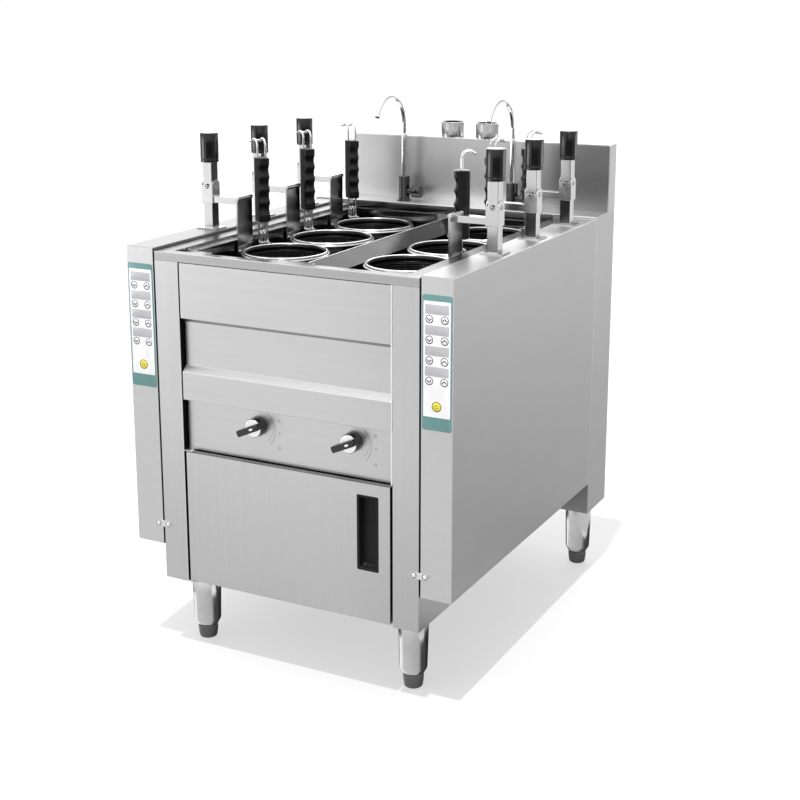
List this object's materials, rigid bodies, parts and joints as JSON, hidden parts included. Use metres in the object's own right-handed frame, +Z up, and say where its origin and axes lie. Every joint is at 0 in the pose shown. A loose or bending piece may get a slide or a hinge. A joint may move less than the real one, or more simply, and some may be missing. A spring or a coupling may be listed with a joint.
{
  "type": "pasta cooker",
  "caption": "Floor-standing gas pasta cooker with tanks, round lift-out baskets on motorised side lifts, keypads, a rear duct with a splashback, and swivel taps.",
  "frame": {"origin": "on the floor below the middle of the whole object", "axes": "+Z up, front (knobs and door) towards -Y, +X to the right seen from the front"},
  "size_m": [0.677, 0.844, 1.038],
  "materials": {
    "panel_steel": "satin brushed",
    "worktop_steel": "satin brushed, pressed",
    "tank_steel": "polished, dark inside",
    "leg_steel": "turned tube",
    "foot_plastic": "moulded grey",
    "bright_steel": "fine brushed",
    "wire_steel": "electropolished",
    "chrome": "polished",
    "black_plastic": "fine moulded grain",
    "keypad_film": "printed film",
    "drive_aluminium": "anodised",
    "burner_iron": "heat-stained",
    "brass": "machined",
    "lever_red": "dipped lever"
  },
  "bodies": {
    "cabinet": {"carcass": "panel_steel", "worktop": "worktop_steel", "tanks": "tank_steel", "divider_cap": "tank_steel", "front_panel": "panel_steel", "control_panel": "panel_steel", "side_boxes": "panel_steel", "rear_duct": "panel_steel", "splashback": "panel_steel", "legs": "leg_steel", "feet": "foot_plastic", "membranes": "keypad_film", "latch_plates": "bright_steel", "screws": "bright_steel", "tap_bodies": "chrome", "lift_drives": "drive_aluminium", "post_guides": "bright_steel", "burners": "burner_iron", "gas_line": "brass", "drain_pipe": "bright_steel", "service_inlets": "brass"},
    "door": {"door": "panel_steel", "door_pull": "black_plastic"},
    "knob_left": {"knob_left": "black_plastic"},
    "knob_right": {"knob_right": "black_plastic"},
    "spout_left": {"spout_left": "chrome"},
    "spout_right": {"spout_right": "chrome"},
    "tap_handle_left": {"tap_handle_left": "chrome"},
    "tap_handle_right": {"tap_handle_right": "chrome"},
    "drain_handle": {"drain_handle": "lever_red"},
    "lift_left_front": {"post_left_front": "bright_steel", "cap_left_front": "black_plastic", "arm_left_front": "bright_steel"},
    "lift_left_middle": {"post_left_middle": "bright_steel", "cap_left_middle": "black_plastic", "arm_left_middle": "bright_steel"},
    "lift_left_rear": {"post_left_rear": "bright_steel", "cap_left_rear": "black_plastic", "arm_left_rear": "bright_steel"},
    "lift_right_front": {"post_right_front": "bright_steel", "cap_right_front": "black_plastic", "arm_right_front": "bright_steel"},
    "lift_right_middle": {"post_right_middle": "bright_steel", "cap_right_middle": "black_plastic", "arm_right_middle": "bright_steel"},
    "lift_right_rear": {"post_right_rear": "bright_steel", "cap_right_rear": "black_plastic", "arm_right_rear": "bright_steel"},
    "basket_left_front": {"basket_left_front": "wire_steel", "grip_left_front": "black_plastic"},
    "basket_left_middle": {"basket_left_middle": "wire_steel", "grip_left_middle": "black_plastic"},
    "basket_left_rear": {"basket_left_rear": "wire_steel", "grip_left_rear": "black_plastic"},
    "basket_right_front": {"basket_right_front": "wire_steel", "grip_right_front": "black_plastic"},
    "basket_right_middle": {"basket_right_middle": "wire_steel", "grip_right_middle": "black_plastic"},
    "basket_right_rear": {"basket_right_rear": "wire_steel", "grip_right_rear": "black_plastic"}
  },
  "joints": [
    {"name": "lift_left_front", "type": "slide", "parent": "cabinet", "child": "lift_left_front", "axis": [0, 0, 1], "range_m": [0, 0.165]},
    {"name": "lift_left_middle", "type": "slide", "parent": "cabinet", "child": "lift_left_middle", "axis": [0, 0, 1], "range_m": [0, 0.165]},
    {"name": "lift_left_rear", "type": "slide", "parent": "cabinet", "child": "lift_left_rear", "axis": [0, 0, 1], "range_m": [0, 0.165]},
    {"name": "lift_right_front", "type": "slide", "parent": "cabinet", "child": "lift_right_front", "axis": [0, 0, 1], "range_m": [0, 0.165]},
    {"name": "lift_right_middle", "type": "slide", "parent": "cabinet", "child": "lift_right_middle", "axis": [0, 0, 1], "range_m": [0, 0.165]},
    {"name": "lift_right_rear", "type": "slide", "parent": "cabinet", "child": "lift_right_rear", "axis": [0, 0, 1], "range_m": [0, 0.165]},
    {"name": "lift_out_left_front", "type": "slide", "parent": "lift_left_front", "child": "basket_left_front", "axis": [0, 0, 1], "range_m": [0, 0.2]},
    {"name": "lift_out_left_middle", "type": "slide", "parent": "lift_left_middle", "child": "basket_left_middle", "axis": [0, 0, 1], "range_m": [0, 0.2]},
    {"name": "lift_out_left_rear", "type": "slide", "parent": "lift_left_rear", "child": "basket_left_rear", "axis": [0, 0, 1], "range_m": [0, 0.05]},
    {"name": "lift_out_right_front", "type": "slide", "parent": "lift_right_front", "child": "basket_right_front", "axis": [0, 0, 1], "range_m": [0, 0.2]},
    {"name": "lift_out_right_middle", "type": "slide", "parent": "lift_right_middle", "child": "basket_right_middle", "axis": [0, 0, 1], "range_m": [0, 0.2]},
    {"name": "lift_out_right_rear", "type": "slide", "parent": "lift_right_rear", "child": "basket_right_rear", "axis": [0, 0, 1], "range_m": [0, 0.05]},
    {"name": "door_swing", "type": "hinge", "parent": "cabinet", "child": "door", "pos_m": [-0.21, -0.397, 0.276], "axis": [0, 0, 1], "range_deg": [-105, 0]},
    {"name": "knob_turn_left", "type": "hinge", "parent": "cabinet", "child": "knob_left", "pos_m": [-0.063, -0.405, 0.478], "axis": [0, -1, 0], "range_deg": [-90, 0]},
    {"name": "knob_turn_right", "type": "hinge", "parent": "cabinet", "child": "knob_right", "pos_m": [0.137, -0.405, 0.478], "axis": [0, -1, 0], "range_deg": [-90, 0]},
    {"name": "spout_swing_left", "type": "hinge", "parent": "cabinet", "child": "spout_left", "pos_m": [-0.131, 0.33, 0.86], "axis": [0, 0, 1], "range_deg": [-20, 90]},
    {"name": "spout_swing_right", "type": "hinge", "parent": "cabinet", "child": "spout_right", "pos_m": [0.131, 0.33, 0.86], "axis": [0, 0, 1], "range_deg": [-90, 10]},
    {"name": "tap_turn_left", "type": "hinge", "parent": "cabinet", "child": "tap_handle_left", "pos_m": [-0.091, 0.33, 0.82], "axis": [1, 0, 0], "range_deg": [0, 180]},
    {"name": "tap_turn_right", "type": "hinge", "parent": "cabinet", "child": "tap_handle_right", "pos_m": [0.171, 0.33, 0.82], "axis": [1, 0, 0], "range_deg": [0, 180]},
    {"name": "drain_turn", "type": "hinge", "parent": "cabinet", "child": "drain_handle", "pos_m": [0.215, -0.289, 0.355], "axis": [0, 1, 0], "range_deg": [0, 90]}
  ]
}
